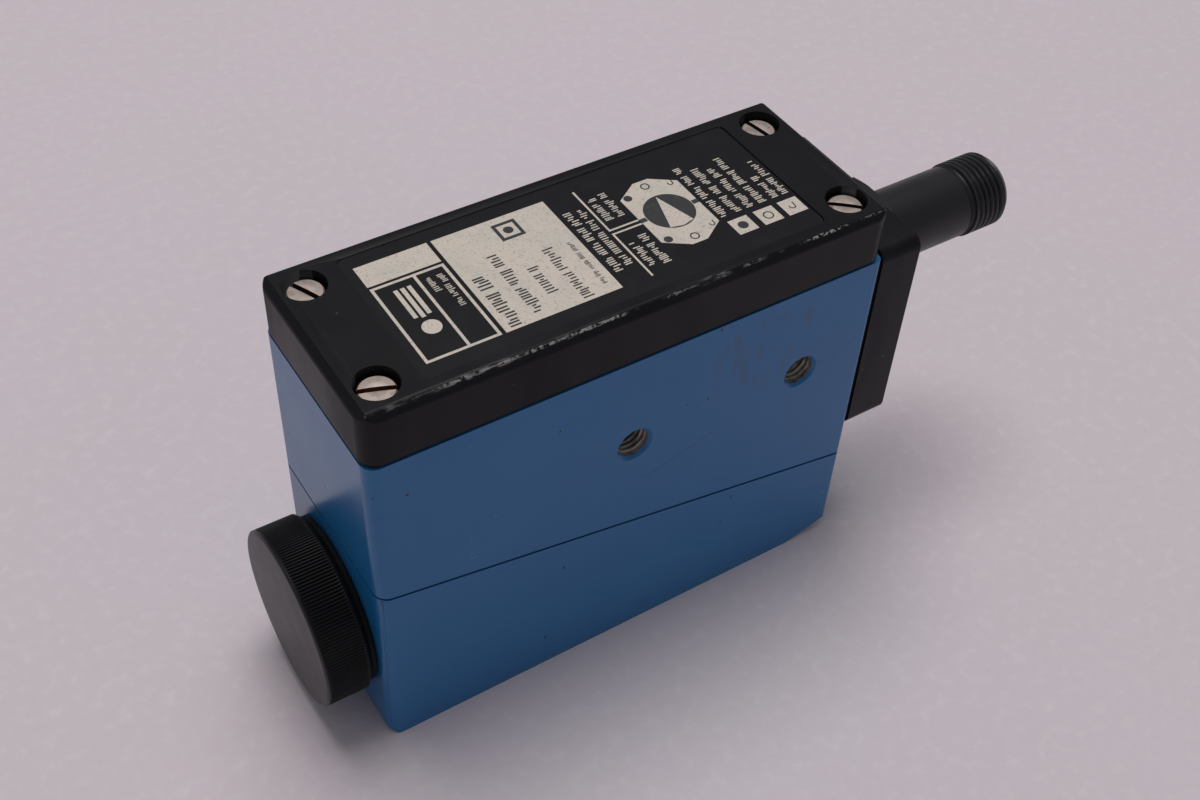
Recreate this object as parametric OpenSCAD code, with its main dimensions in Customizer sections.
// Photoelectric contrast sensor in a block housing.
// The frame stands on the base: +X runs from the knurled front cap to the
// connector, +Z is up, and the origin is the centre of the housing's base.

/* [Housing] */
// Length of the housing without its cap and connector
body_l = 80; // [78:0.5:84]
// Width of the housing
body_w = 30; // [30:0.5:34]
// Height of the two blue shells, up to the lid's gasket
shell_h = 57.5; // [57:0.5:60]
// Radius of the upright corners
corner_r = 2; // [1:0.5:2.5]
// Wall thickness of the shells
wall = 2.5; // [2:0.25:2.5]
// Height of the slanted seam at the front
seam_front = 32.2; // [32:0.1:33]
// Height of the slanted seam at the rear
seam_rear = 17.7; // [17:0.1:18]
// Thickness of the gasket in the seam
seam_t = 0.4; // [0.3:0.1:0.5]

/* [Side threads] */
// Wall radius of the threaded side holes
side_hole_r = 2.1; // [1.9:0.05:2.3]
// Places of the side holes along the housing
side_hole_x = [-0.5, 28];
// Height of the side holes above the base
side_hole_z = 41.4; // [40:0.2:42]
// Depth of the side holes
side_hole_depth = 7.5; // [6:0.5:8]

/* [Lid] */
// Height of the lid
lid_h = 8.5; // [8:0.5:10]
// Thickness of the lid's gasket
lid_gasket_t = 0.5; // [0.4:0.1:0.6]
// Distance from the centre to the lid screws, along X and Y
lid_screw_at = [35.5, 10];
// Size of the label field
field = [60.6, 24.8];
// Depth of the label field
field_depth = 0.4; // [0.4:0.1:0.6]

/* [Front cap] */
// Outer radius of the knurled cap
cap_r = 13.5; // [13:0.1:13.6]
// Thickness of the knurled part
cap_t = 6.8; // [6:0.2:6.8]
// How far the cap's face stands off the housing
cap_out = 8; // [8:0.2:9]
// Height of the cap's axis above the base
port_z = 16.65; // [16.6:0.05:16.8]
// Radius of the threaded port
port_r = 11.85; // [11.6:0.05:11.9]
// Depth of the port's thread
port_depth = 6; // [6:0.25:6.5]

/* [Objective] */
// Place of the objective's axis along the housing
objective_x = -22; // [-22.5:0.1:-21.5]
// Radius of the objective's threaded bore
objective_r = 10.55; // [10.4:0.05:10.6]
// Radius of the lens
lens_r = 8; // [7.5:0.1:8.2]

/* [Rear cover] */
// Depth of the rear cover
cover_t = 7; // [6.8:0.1:7.4]
// Height range of the rear cover
cover_z = [23, 58];
// Height of the connector's axis
plug_z = 46.7; // [46.4:0.1:47]
// Radius of the connector's thread
plug_r = 6; // [6:0.05:6.05]
// Length of the connector outside the cover
plug_l = 28; // [26:0.5:30]
// Height of the two controls
control_z = 32.6; // [32.4:0.1:32.8]
// Distance of the controls from the middle
control_y = 5.2; // [5.2:0.05:5.3]

/* [Hidden] */
$fn = 64;
eps = 0.01;
run = 0.05;
touch = 0.02;
half_l = body_l / 2;
half_w = body_w / 2;
in_l = body_l - 2 * wall;
in_w = body_w - 2 * wall;
lid_z = shell_h + lid_gasket_t;
top_z = lid_z + lid_h;
seam_slope = (seam_rear - seam_front) / body_l;
front_block = -half_l + port_depth;
heel = [8, 2.4];
toe = 1.2;
post_r = 3.6;
lid_thread_r = 1.5;
lid_head_r = 2.45;
lid_head_h = 2;
lid_head_z = top_z - 3;
housing_screw_at = [[-31.2, 11.4], [26, 11.4]];
housing_screw_r = 1.25;
housing_head_z = 3;
window = [20.4, 29.5];
window_z = 24;
cover_wall = 1.6;
cover_w = 29.2;
cover_x = half_l + 0.5;
cover_end = cover_x + cover_t;
cover_screw_at = [[12, 26], [12, 55.2]];
cover_screw_r = 1;
hex_flats = 16;
hex_l = 4.1;
thread_l = 7;
sleeve_r = plug_r - 0.25;
plug_end = cover_end + plug_l;
socket_depth = 9;
socket_r = 4.4;
pin_ring_r = 2.75;
pin_r = 0.5;
lead_r = 0.7;
terminal_end = 37.5;
board_t = 1.6;
main_board_z = 50;
control_board_x = 32.4;
control_body_x = control_board_x + board_t;
control_body_end = 42.6;
selector_shaft_r = 2;
pot_shaft_r = 1.5;
selector_r = 4.2;
pot_r = 2.9;
well_gap = 0.35;
well_depth = 1.3;
light_z = 26.3;
light_y = 3;
light_r = 1.3;
block = [26, 19, 17.6];
block_z = 9.4;
optics_screw_at = [10.5, 7.3];
beam_r = 5;
amplifier_z = 31;
barrel_z = 0.4;
barrel_h = 8.6;
lens_seat_z = 3;
lens_edge = 1.6;
cap_collar_r = 12.4;
cap_neck_r = 11.4;
cap_seal_t = 1;
spigot_r = port_r - run;
mirror_size = [16, 14, 1.5];

// ---- shared shapes ----

// Upright plate with rounded corners, centred on the Z axis
module rounded_plate(l, w, h, r) {
    linear_extrude(h) {
        square([l - 2 * r, w], center = true);
        square([l, w - 2 * r], center = true);
        for (x = [-1, 1], y = [-1, 1])
            translate([x * (l / 2 - r), y * (w / 2 - r)]) circle(r);
    }
}

// The housing's outline made solid: its rear corners are tighter than its front ones
module body_plate(h) {
    rear_r = 1;
    linear_extrude(h) {
        translate([corner_r - half_l, -half_w]) square([body_l - corner_r - rear_r, body_w]);
        translate([-half_l, corner_r - half_w]) square([half_l, body_w - 2 * corner_r]);
        translate([0, rear_r - half_w]) square([half_l, body_w - 2 * rear_r]);
        for (y = [-1, 1]) {
            translate([corner_r - half_l, y * (half_w - corner_r)]) circle(corner_r);
            translate([half_l - rear_r, y * (half_w - rear_r)]) circle(rear_r);
        }
    }
}

// Everything between two slanted planes, at heights above the seam line
module seam_slab(low, high) {
    far = half_l + 5;
    function seam_at(x) = seam_front + (x + half_l) * seam_slope;
    rotate([90, 0, 0])
        linear_extrude(2 * body_w, center = true)
            polygon([
                [-far, seam_at(-far) + low], [far, seam_at(far) + low],
                [far, seam_at(far) + high], [-far, seam_at(-far) + high]
            ]);
}

// Rod along +X from x0 to x1
module rod_x(x0, x1, r, y = 0, z = 0) {
    translate([x0, y, z]) rotate([0, 90, 0]) cylinder(h = x1 - x0, r = r);
}

// Solid of revolution about an axis along X: profile points are [x, radius]
module turned_x(profile, y = 0, z = 0) {
    translate([0, y, z]) rotate([0, 90, 0])
        rotate_extrude() polygon([for (p = profile) [p[1], p[0]]]);
}

// Ring of round section about an axis along X
module ring_x(x, ring_r, section_r, y = 0, z = 0) {
    translate([x, y, z]) rotate([0, 90, 0])
        rotate_extrude() translate([ring_r, 0]) circle(section_r, $fn = 24);
}

// Upright slotted cheese-head screw: the head stands on z = 0
module slotted_screw(shank_r, shank_l, head_r, head_h, slot_angle) {
    slot_w = head_r * 0.3;
    translate([0, 0, -shank_l]) cylinder(h = shank_l + eps, r = shank_r);
    difference() {
        cylinder(h = head_h, r = head_r);
        rotate([0, 0, slot_angle])
            translate([0, 0, head_h])
                cube([2 * head_r + 1, slot_w, head_h], center = true);
    }
}

// Repeats its child in all four corners at +-x and +-y
module four_corners(at) {
    for (x = [-1, 1], y = [-1, 1])
        translate([x * at[0], y * at[1], 0]) children();
}

// Places its child at each housing screw
module at_housing_screws() {
    for (at = housing_screw_at, side = [-1, 1])
        translate([at[0], side * at[1], 0]) children();
}

// Places its child at each cover screw, with +Z turned to point along +X
module at_cover_screws(x) {
    for (at = cover_screw_at, side = [-1, 1])
        translate([x, side * at[0], at[1]]) rotate([0, 90, 0]) children();
}

// ---- housing ----

// Side hole with its countersunk mouth, cut from one side face
module side_hole(side) {
    mouth = 0.8;
    translate([0, side * half_w, side_hole_z]) rotate([side * 90, 0, 0]) {
        cylinder(h = side_hole_depth, r = side_hole_r);
        translate([0, 0, -eps])
            cylinder(h = mouth + eps, r1 = side_hole_r + mouth, r2 = side_hole_r);
    }
}

module upper_housing() {
    boss_r = 4.2;
    boss_l = 6.5;
    stand_r = 2.4;
    stand_y = 9.4;
    color([0.11, 0.27, 0.43])
    difference() {
        union() {
            difference() {
                body_plate(shell_h);
                translate([0, 0, -1]) rounded_plate(in_l, in_w, shell_h + 2, corner_r / 2);
            }
            intersection() {
                rounded_plate(body_l - 1, body_w - 1, shell_h, corner_r);
                union() {
                    four_corners(lid_screw_at)
                        translate([0, 0, 42]) cylinder(h = shell_h - 42, r = post_r);
                    at_housing_screws() cylinder(h = 39, r = 2.6);
                    for (x = side_hole_x, side = [-1, 1]) {
                        translate([x, side * (half_w - 1), side_hole_z])
                            rotate([side * 90, 0, 0]) cylinder(h = boss_l + 1, r = boss_r);
                        translate([x, side * stand_y, side_hole_z])
                            cylinder(h = main_board_z - side_hole_z, r = stand_r);
                    }
                }
            }
        }
        translate([0, 0, -half_l]) seam_slab(0, half_l + seam_t / 2);
        for (x = side_hole_x, side = [-1, 1]) {
            translate([x, 0, 0]) side_hole(side);
            translate([x, side * stand_y, main_board_z - 3])
                cylinder(h = 4, r = 1 + touch);
        }
        four_corners(lid_screw_at)
            translate([0, 0, 46]) cylinder(h = 20, r = lid_thread_r + touch);
        at_housing_screws() cylinder(h = 37, r = housing_screw_r + touch);
        at_cover_screws(half_l - wall - 0.2) cylinder(h = 10, r = cover_screw_r + touch);
        translate([half_l - wall - 0.1, -window[0] / 2, window_z])
            cube([8, window[0], window[1]]);
    }
}

module lower_housing() {
    post = 2.6;
    collar_r = 13;
    collar_top = 7.5;
    color([0.11, 0.27, 0.43])
    difference() {
        union() {
            difference() {
                body_plate(seam_front);
                translate([0, 0, wall]) rounded_plate(in_l, in_w, seam_front, corner_r / 2);
            }
            intersection() {
                rounded_plate(body_l - 1, body_w - 1, seam_front, corner_r);
                union() {
                    translate([-half_l, -half_w, 0]) cube([port_depth, body_w, seam_front]);
                    at_housing_screws() cylinder(h = seam_front, r = post);
                    translate([objective_x, 0, 0]) cylinder(h = collar_top, r = collar_r);
                    four_corners(optics_screw_at) cylinder(h = block_z, r = 2.2);
                }
            }
        }
        seam_slab(-seam_t / 2, half_l);
        translate([half_l - heel[0], 0, 0]) rotate([0, -atan(heel[1] / heel[0]), 0])
            translate([0, -body_w, -body_w]) cube([body_l, 2 * body_w, body_w]);
        translate([-half_l, 0, 0]) rotate([0, 45, 0])
            cube([toe * sqrt(2), 2 * body_w, toe * sqrt(2)], center = true);
        rod_x(-half_l - 1, front_block + 1, port_r, 0, port_z);
        translate([objective_x, 0, -1]) cylinder(h = collar_top + 2, r = objective_r);
        at_housing_screws() {
            translate([0, 0, -1]) cylinder(h = seam_front + 2, r = housing_screw_r + 0.1);
            translate([0, 0, -1]) cylinder(h = housing_head_z + 1, r = 2.4);
        }
        four_corners(optics_screw_at)
            translate([0, 0, wall + 0.5]) cylinder(h = block_z, r = 1 + touch);
    }
}

module housing_gasket() {
    inset = 0.25;
    color([0.03, 0.03, 0.04])
    intersection() {
        difference() {
            union() {
                difference() {
                    rounded_plate(body_l - 2 * inset, body_w - 2 * inset, shell_h, corner_r);
                    translate([0, 0, -1])
                        rounded_plate(in_l, in_w, shell_h + 2, corner_r / 2);
                }
                intersection() {
                    rounded_plate(body_l - 1, body_w - 1, shell_h, corner_r);
                    at_housing_screws() cylinder(h = shell_h, r = 2.6);
                }
            }
            at_housing_screws() cylinder(h = shell_h, r = housing_screw_r + 0.1);
        }
        seam_slab(-seam_t / 2, seam_t / 2);
    }
}

module housing_screws() {
    head_h = 1.8;
    shank_l = 33;
    color("silver")
    at_housing_screws()
        translate([0, 0, housing_head_z]) rotate([180, 0, 0])
            slotted_screw(housing_screw_r, shank_l, 2.1, head_h, 35);
}

// ---- lid ----

module lid() {
    chamfer = 1;
    cavity_h = 5;
    bevel = chamfer * sqrt(2);
    color([0.06, 0.06, 0.07])
    difference() {
        translate([0, 0, lid_z]) rounded_plate(body_l, body_w, lid_h, corner_r);
        for (side = [-1, 1]) {
            translate([0, side * half_w, top_z]) rotate([45, 0, 0])
                cube([body_l + 2, bevel, bevel], center = true);
            translate([side * half_l, 0, top_z]) rotate([0, 45, 0])
                cube([bevel, body_w + 2, bevel], center = true);
        }
        translate([0, 0, top_z - field_depth]) rounded_plate(field[0], field[1], 2, 1);
        translate([0, 0, lid_z - 1]) rounded_plate(61, 24, cavity_h + 1, 1);
        four_corners(lid_screw_at) {
            translate([0, 0, lid_head_z]) cylinder(h = 5, r = lid_head_r + 0.5);
            translate([0, 0, lid_z - 1]) cylinder(h = lid_h, r = lid_thread_r + 0.1);
        }
    }
}

module lid_gasket() {
    inset = 0.35;
    color([0.03, 0.03, 0.03])
    translate([0, 0, shell_h])
    difference() {
        rounded_plate(body_l - 2 * inset, body_w - 2 * inset, lid_gasket_t, corner_r);
        translate([0, 0, -1]) rounded_plate(61, 24, 3, 1);
        four_corners(lid_screw_at)
            translate([0, 0, -1]) cylinder(h = 3, r = lid_thread_r + 0.1);
    }
}

module lid_screws() {
    slot_angles = [115, 160, 100, 140];
    shank_l = 16;
    color("silver")
    for (i = [0:3])
        translate([
            (i < 2 ? -1 : 1) * lid_screw_at[0],
            (i % 2 == 0 ? 1 : -1) * lid_screw_at[1],
            lid_head_z
        ])
            slotted_screw(lid_thread_r, shank_l, lid_head_r, lid_head_h, slot_angles[i]);
}

module label_plate() {
    gap = 0.15;
    thickness = 0.25;
    color([0.09, 0.09, 0.1])
    translate([0, 0, top_z - field_depth])
        rounded_plate(field[0] - 2 * gap, field[1] - 2 * gap, thickness, 1);
}

// ---- front cap ----

module front_cap() {
    face = -half_l - cap_out;
    back = face + cap_t;
    bevel = 0.4;
    hollow_r = 9;
    inner = front_block - 0.4;
    thread_x = -half_l + 0.4;
    color([0.05, 0.05, 0.05])
    turned_x([
        [face, 0], [face, cap_r - bevel], [face + bevel, cap_r],
        [back - bevel, cap_r], [back, cap_r - bevel],
        [back, cap_collar_r], [-half_l - cap_seal_t, cap_collar_r],
        [-half_l - cap_seal_t, cap_neck_r], [thread_x, cap_neck_r],
        [thread_x + 0.4, spigot_r], [inner - bevel, spigot_r], [inner, spigot_r - bevel],
        [inner, hollow_r], [-half_l - 3, hollow_r], [-half_l - 3, 0]
    ], 0, port_z);
}

// Flat rubber ring on the cap's neck, pressed against the housing's front face
module front_cap_seal() {
    outer = cap_collar_r + 0.3;
    soft = 0.2;
    x0 = -half_l - cap_seal_t + touch;
    x1 = -half_l - touch;
    color([0.03, 0.03, 0.03])
    turned_x([
        [x0, cap_neck_r + touch], [x0, outer - soft], [x0 + soft, outer],
        [x1 - soft, outer], [x1, outer - soft], [x1, cap_neck_r + touch]
    ], 0, port_z);
}

// ---- objective in the base ----

module objective_barrel() {
    outer = objective_r - run;
    groove_z = 6;
    groove_h = 1.2;
    color([0.07, 0.07, 0.07])
    translate([objective_x, 0, barrel_z])
    difference() {
        cylinder(h = barrel_h, r = outer);
        translate([0, 0, -1]) cylinder(h = barrel_h + 2, r = lens_r - 1);
        translate([0, 0, lens_seat_z]) cylinder(h = barrel_h, r = lens_r + touch);
        translate([0, 0, -eps]) cylinder(h = 1.5, r1 = lens_r + 0.6, r2 = lens_r - 1);
        for (a = [0, 180])
            rotate([0, 0, a]) translate([9.5, 0, 0]) cube([4, 1.4, 2], center = true);
        translate([0, 0, groove_z]) difference() {
            cylinder(h = groove_h, r = outer + 1);
            translate([0, 0, -1]) cylinder(h = groove_h + 2, r = outer - 1.05);
        }
    }
}

// Plano-convex lens standing on z = 0 with its crown on top
module plano_convex(r, edge_t, crown) {
    ball_r = (r * r + crown * crown) / (2 * crown);
    cylinder(h = edge_t, r = r);
    intersection() {
        translate([0, 0, edge_t + crown - ball_r]) sphere(ball_r);
        translate([0, 0, edge_t - eps]) cylinder(h = crown + 1, r = r);
    }
}

module objective_lens() {
    color([0.75, 0.85, 0.9, 0.5])
    translate([objective_x, 0, barrel_z + lens_seat_z])
        plano_convex(lens_r, lens_edge, 1.3);
}

module lens_retainer() {
    bottom = barrel_z + lens_seat_z + lens_edge + 0.35;
    color([0.1, 0.1, 0.1])
    translate([objective_x, 0, bottom])
    difference() {
        cylinder(h = barrel_z + barrel_h - bottom - 0.3, r = lens_r);
        translate([0, 0, -1]) cylinder(h = barrel_h, r = lens_r - 1);
        for (a = [0, 180])
            rotate([0, 0, a]) translate([lens_r, 0, 3.6]) cube([4, 1, 1.5], center = true);
    }
}

module objective_seal() {
    section = 0.5;
    color([0.03, 0.03, 0.03])
    translate([objective_x, 0, barrel_z + 6.6])
        rotate_extrude() translate([objective_r - run - section - touch, 0])
            circle(section, $fn = 24);
}

// ---- optics ----

// Turns +Z to the mirror's normal, which points back and down at 45 degrees
module at_mirror() {
    translate([objective_x, 0, port_z]) rotate([0, 135, 0]) children();
}

module deflecting_mirror() {
    color([0.85, 0.87, 0.9])
    at_mirror()
        translate([-mirror_size[0] / 2, -mirror_size[1] / 2, -mirror_size[2]])
            cube(mirror_size);
}

module mirror_holder() {
    plate = [18, 17, 2];
    arm = [14, 3, 3];
    arm_y = plate[1] / 2 - 0.5;
    color([0.08, 0.08, 0.08]) {
        at_mirror()
            translate([-plate[0] / 2, -plate[1] / 2, -mirror_size[2] - plate[2]]) cube(plate);
        for (side = [-1, 1])
            translate([-block[0] / 2 - touch - arm[0], side * (arm_y + arm[1] / 2) - arm[1] / 2, 21])
                cube(arm);
    }
}

module optics_block() {
    color([0.1, 0.1, 0.1])
    difference() {
        translate([-block[0] / 2, -block[1] / 2, block_z]) cube(block);
        rod_x(-block[0], block[0], beam_r, 0, port_z);
        translate([0, 0, port_z]) cylinder(h = 20, r = 4);
        four_corners(optics_screw_at) cylinder(h = 40, r = 1 + touch);
    }
}

module beam_splitter() {
    color([0.8, 0.85, 0.9, 0.5])
    translate([0, 0, port_z]) rotate([0, 45, 0]) cube([9, 7, 0.8], center = true);
}

module collimator_lens() {
    color([0.8, 0.88, 0.92, 0.5])
    translate([6.5, 0, port_z]) rotate([0, 90, 0])
        plano_convex(beam_r - touch, 1.2, 0.9);
}

module emitter_holder() {
    color([0.12, 0.12, 0.12])
    difference() {
        translate([block[0] / 2, -9.5, port_z - 7]) cube([6, 19, 14]);
        for (side = [-1, 1]) rod_x(0, 30, 2.5, side * 2.6, port_z);
    }
}

// Round diode package lying along X, with its dome towards -X
module emitter(side) {
    dome_x = 13.4;
    body_r = 2.45;
    rod_x(dome_x, 18.6, body_r, side * 2.6, port_z);
    intersection() {
        translate([dome_x, side * 2.6, port_z]) sphere(body_r);
        rod_x(0, dome_x + eps, body_r, side * 2.6, port_z);
    }
    for (lead = [-1.27, 1.27]) rod_x(18.6 - eps, 21, 0.25, side * 2.6, port_z + lead);
}

module red_emitter() {
    color([0.8, 0.1, 0.08]) emitter(-1);
}

module infrared_emitter() {
    color([0.15, 0.1, 0.2]) emitter(1);
}

module receiver_lens() {
    color([0.8, 0.88, 0.92, 0.5])
    translate([0, 0, port_z + 5.4]) plano_convex(4 - touch, 0.8, 0.7);
}

module receiver_diode() {
    block_top = block_z + block[2];
    color([0.7, 0.65, 0.4])
    translate([0, 0, block_top]) {
        translate([0, 0, -2.5]) cylinder(h = 2.5 + eps, r = 4 - touch);
        cylinder(h = 0.8, r = 4.6);
        for (a = [45, 165, 285])
            rotate([0, 0, a]) translate([2.5, 0, 0]) cylinder(h = 5.6, r = 0.22);
    }
}

module spacer_sleeves() {
    block_top = block_z + block[2];
    color("silver")
    four_corners(optics_screw_at)
        translate([0, 0, block_top]) difference() {
            cylinder(h = amplifier_z - block_top, r = 1.9);
            translate([0, 0, -1]) cylinder(h = 10, r = 1 + touch);
        }
}

module amplifier_board() {
    color([0.1, 0.35, 0.2])
    difference() {
        translate([-13, -9.5, amplifier_z]) cube([26, 19, board_t]);
        four_corners(optics_screw_at)
            translate([0, 0, amplifier_z - 1]) cylinder(h = 5, r = 1 + touch);
        for (a = [45, 165, 285])
            rotate([0, 0, a]) translate([2.5, 0, amplifier_z - 1])
                cylinder(h = 5, r = 0.22 + touch);
    }
}

module optics_screws() {
    bottom = wall + 1;
    color("silver")
    four_corners(optics_screw_at)
        translate([0, 0, amplifier_z + board_t])
            slotted_screw(1, amplifier_z + board_t - bottom, 1.8, 1.3, 60);
}

module amplifier_header() {
    pitch = 2.54;
    z0 = amplifier_z + board_t;
    color([0.75, 0.65, 0.3])
    for (i = [-2:2])
        translate([-8, i * pitch * 0.9, z0 + touch])
            cylinder(h = main_board_z - z0 - 2 * touch, r = 0.35);
}

module sensor_flex() {
    x = 21 + touch;
    color([0.75, 0.45, 0.1]) {
        translate([x, -4.5, port_z - 3]) cube([0.3, 9, main_board_z - port_z + 3 - touch]);
    }
}

// ---- electronics ----

module main_board() {
    color([0.1, 0.38, 0.22])
    difference() {
        translate([-31, -11.5, main_board_z]) cube([62, 23, board_t]);
        for (x = side_hole_x, side = [-1, 1])
            translate([x, side * 9.4, main_board_z - 1]) cylinder(h = 4, r = 1 + touch);
    }
}

module board_screws() {
    color("silver")
    for (x = side_hole_x, side = [-1, 1])
        translate([x, side * 9.4, main_board_z + board_t])
            slotted_screw(1, 4.2, 1.8, 1.2, 20);
}

module main_board_parts() {
    top = main_board_z + board_t;
    chip = [[-24, -3, 10, 6], [-9, 3, 9, 6], [9, -3, 8, 5]];
    can = [[-24, 6.5, 2.8, 7], [17, 5.5, 2.5, 6.5], [-9, -6, 2, 5]];
    small = [for (i = [0:8]) [-28 + i * 6, -9.6]];
    color([0.08, 0.08, 0.08])
    for (c = chip)
        translate([c[0] - c[2] / 2, c[1] - c[3] / 2, top]) cube([c[2], c[3], 1.7]);
    color([0.2, 0.2, 0.5])
    for (c = can) translate([c[0], c[1], top]) cylinder(h = c[3], r = c[2]);
    color([0.55, 0.45, 0.3])
    for (s = small)
        if (abs(s[0] - side_hole_x[0]) > 3.5 && abs(s[0] - side_hole_x[1]) > 3.5)
            translate([s[0], s[1], top]) cube([2, 1.25, 0.6]);
}

// Upright board, with a neck that rises between the rear lid posts
module control_board() {
    neck_w = 11;
    bottom = 22;
    shoulder = 41;
    color([0.1, 0.38, 0.22]) {
        translate([control_board_x, -10.5, bottom]) cube([board_t, 21, shoulder - bottom]);
        translate([control_board_x, -neck_w / 2, shoulder - eps])
            cube([board_t, neck_w, 53 - shoulder]);
    }
}

module board_link() {
    depth = 2.4;
    color([0.08, 0.08, 0.08])
    translate([control_board_x - depth, -5, 37]) cube([depth, 10, main_board_z - 37]);
}

// Terminal on the control board's neck, with a hole for each lead
module lead_terminal() {
    half = 4.6;
    color([0.9, 0.9, 0.86])
    difference() {
        translate([control_body_x, -half, plug_z - half])
            cube([terminal_end - control_body_x, 2 * half, 2 * half]);
        at_pins() rod_x(terminal_end - 2, terminal_end + 1, lead_r + touch);
    }
}

// Body of a control on the control board, with the bore for its shaft
module control_body(side, shaft_r) {
    difference() {
        translate([control_body_x, side * control_y - 4.4, control_z - 4.4])
            cube([control_body_end - control_body_x, 8.8, 8.8]);
        rod_x(36.5, 50, shaft_r + run, side * control_y, control_z);
    }
}

module selector_body() {
    color([0.1, 0.1, 0.12]) control_body(-1, selector_shaft_r);
}

module potentiometer_body() {
    color([0.1, 0.2, 0.5]) control_body(1, pot_shaft_r);
}

// Slotted dial on a shaft, with a small arrow cut beside the slot
module control_rotor(side, shaft_r, dial_r) {
    dial_x = cover_end - well_depth + 0.1;
    dial_t = well_depth - 0.4;
    slot_w = dial_r * 0.24;
    difference() {
        union() {
            rod_x(37, dial_x + eps, shaft_r, side * control_y, control_z);
            rod_x(dial_x, dial_x + dial_t, dial_r, side * control_y, control_z);
        }
        translate([dial_x + dial_t, side * control_y, control_z])
            cube([1, slot_w, dial_r * 1.5], center = true);
        translate([dial_x + dial_t, side * control_y, control_z + dial_r * 0.82])
            rotate([0, 90, 0]) cylinder(h = 1, r = dial_r * 0.22, center = true, $fn = 3);
    }
}

module selector_rotor() {
    color([0.85, 0.85, 0.82]) control_rotor(-1, selector_shaft_r, selector_r);
}

module potentiometer_rotor() {
    color([0.85, 0.8, 0.6]) control_rotor(1, pot_shaft_r, pot_r);
}

// Shaft seal in the pocket behind a control's well
module shaft_seal(side, shaft_r) {
    section = 0.55;
    ring_x(44, shaft_r + run + section, section, side * control_y, control_z);
}

module selector_seal() {
    color([0.03, 0.03, 0.03]) shaft_seal(-1, selector_shaft_r);
}

module potentiometer_seal() {
    color([0.03, 0.03, 0.03]) shaft_seal(1, pot_shaft_r);
}

module indicator_leds() {
    color([0.9, 0.9, 0.8])
    for (side = [-1, 1])
        translate([control_body_x, side * light_y - 1, light_z - 1]) cube([1, 2, 2]);
}

module light_pipes() {
    end = cover_end + 0.2;
    color([0.4, 0.8, 0.4, 0.7])
    for (side = [-1, 1])
        turned_x([
            [control_body_x + 1.1, 0], [control_body_x + 1.1, light_r],
            [end - 0.4, light_r], [end, light_r - 0.5], [end, 0]
        ], side * light_y, light_z);
}

// ---- rear cover ----

// Outline of the rear cover, drawn in the YZ plane and extruded along +X
module cover_plate(x, t, inset, r) {
    h = cover_z[1] - cover_z[0];
    translate([x, 0, (cover_z[0] + cover_z[1]) / 2]) rotate([0, 90, 0])
        rounded_plate(h - 2 * inset, cover_w - 2 * inset, t, r);
}

module rear_cover() {
    wall_x = cover_end - cover_wall;
    color([0.07, 0.07, 0.07])
    difference() {
        union() {
            difference() {
                cover_plate(cover_x, cover_t, 0, 2);
                cover_plate(cover_x - 1, wall_x - cover_x + 1, cover_wall, 1);
            }
            rod_x(43.4, wall_x + eps, 5.4, -control_y, control_z);
            rod_x(43.4, wall_x + eps, 4.1, control_y, control_z);
            intersection() {
                at_cover_screws(cover_x) cylinder(h = wall_x - cover_x + eps, r = 2.6);
                cover_plate(cover_x, cover_t, 0.5, 2);
            }
        }
        rod_x(43, 50, plug_r - 0.9, 0, plug_z);
        for (side = [-1, 1]) {
            shaft_r = side < 0 ? selector_shaft_r : pot_shaft_r;
            dial_r = side < 0 ? selector_r : pot_r;
            rod_x(43, 50, shaft_r + run, side * control_y, control_z);
            rod_x(43, 44.6, shaft_r + 1.25, side * control_y, control_z);
            rod_x(cover_end - well_depth, 50, dial_r + well_gap, side * control_y, control_z);
            rod_x(43, 50, light_r + touch, side * light_y, light_z);
        }
        at_cover_screws(cover_x - 1) cylinder(h = 12, r = cover_screw_r + 0.1);
        at_cover_screws(cover_end - 1.2) cylinder(h = 3, r = 2.1);
    }
}

module rear_cover_gasket() {
    color([0.03, 0.03, 0.03])
    difference() {
        cover_plate(half_l, cover_x - half_l, 0.3, 2);
        translate([half_l - 1, -window[0] / 2, window_z]) cube([3, window[0], window[1]]);
        at_cover_screws(half_l - 1) cylinder(h = 3, r = cover_screw_r + 0.1);
    }
}

module rear_cover_screws() {
    color("silver")
    at_cover_screws(cover_end - 1.2)
        slotted_screw(cover_screw_r, 8.5, 1.9, 1.1, 70);
}

// ---- connector ----

// Six-sided collar about the connector's axis, flat on top
module hex_x(x, l, flats) {
    translate([x, 0, plug_z]) rotate([0, 90, 0])
        rotate([0, 0, 30]) cylinder(h = l, r = flats / sqrt(3), $fn = 6);
}

module connector_body() {
    stub_x = 42;
    insert_r = 3.8;
    socket_x = plug_end - socket_depth;
    thread_x = plug_end - thread_l;
    color([0.07, 0.07, 0.08])
    difference() {
        union() {
            rod_x(stub_x, cover_end + eps, plug_r - 1, 0, plug_z);
            hex_x(cover_end, hex_l, hex_flats);
            rod_x(cover_end + hex_l - eps, thread_x, sleeve_r, 0, plug_z);
            rod_x(thread_x - eps, plug_end, plug_r, 0, plug_z);
        }
        rod_x(stub_x - 1, socket_x, insert_r, 0, plug_z);
        rod_x(socket_x - eps, plug_end + 1, socket_r, 0, plug_z);
        turned_x([
            [cover_end - 1, plug_r - 0.5], [cover_end - 1, plug_r + 0.7],
            [cover_end + 1, plug_r + 0.7], [cover_end + 1, plug_r - 0.5]
        ], 0, plug_z);
    }
}

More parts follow.
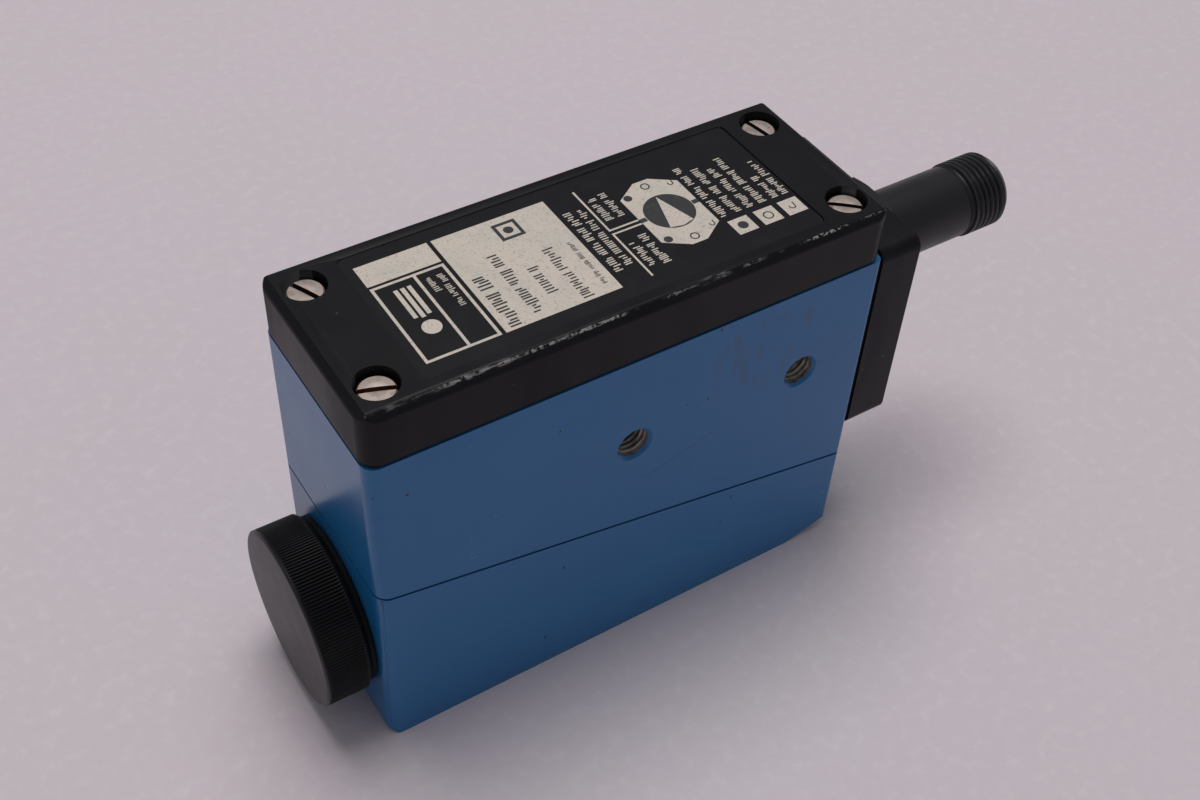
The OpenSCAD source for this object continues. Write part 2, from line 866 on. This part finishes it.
module connector_seal() {
    color([0.03, 0.03, 0.03])
    turned_x([
        [cover_end, plug_r - 0.45], [cover_end, plug_r + 0.65],
        [cover_end + 0.95, plug_r + 0.65], [cover_end + 0.95, plug_r - 0.45]
    ], 0, plug_z);
}

// Places its child on each of the four contacts
module at_pins() {
    for (a = [0:90:270])
        translate([0, pin_ring_r * cos(a), plug_z + pin_ring_r * sin(a)]) children();
}

module connector_insert() {
    color([0.1, 0.1, 0.1])
    difference() {
        rod_x(43, plug_end - socket_depth - 0.2, 3.8 - touch, 0, plug_z);
        at_pins() rod_x(40, plug_end, pin_r + touch);
    }
}

module connector_pins() {
    color([0.85, 0.7, 0.3])
    at_pins() {
        rod_x(41.5, plug_end - 2, pin_r);
        translate([plug_end - 2 - eps, 0, 0]) rotate([0, 90, 0])
            cylinder(h = 0.6, r1 = pin_r, r2 = pin_r * 0.4);
    }
}

module connector_nut() {
    x = 42.9;
    color("silver")
    difference() {
        hex_x(x, cover_end - cover_wall - x - touch, 13);
        rod_x(x - 1, 50, plug_r - 1 + touch, 0, plug_z);
    }
}

// Insulated leads, straight from the contacts into the terminal
module connector_leads() {
    color([0.55, 0.3, 0.15])
    at_pins() rod_x(terminal_end - 2, 41.5 - touch, lead_r);
}

upper_housing();
lower_housing();
housing_gasket();
housing_screws();
lid();
lid_gasket();
lid_screws();
label_plate();
front_cap();
front_cap_seal();
objective_barrel();
objective_lens();
lens_retainer();
objective_seal();
mirror_holder();
deflecting_mirror();
optics_block();
beam_splitter();
collimator_lens();
emitter_holder();
red_emitter();
infrared_emitter();
receiver_lens();
receiver_diode();
optics_screws();
spacer_sleeves();
amplifier_board();
amplifier_header();
sensor_flex();
main_board();
main_board_parts();
board_screws();
board_link();
lead_terminal();
control_board();
selector_body();
selector_rotor();
selector_seal();
potentiometer_body();
potentiometer_rotor();
potentiometer_seal();
indicator_leds();
light_pipes();
rear_cover();
rear_cover_gasket();
rear_cover_screws();
connector_body();
connector_seal();
connector_insert();
connector_pins();
connector_nut();
connector_leads();
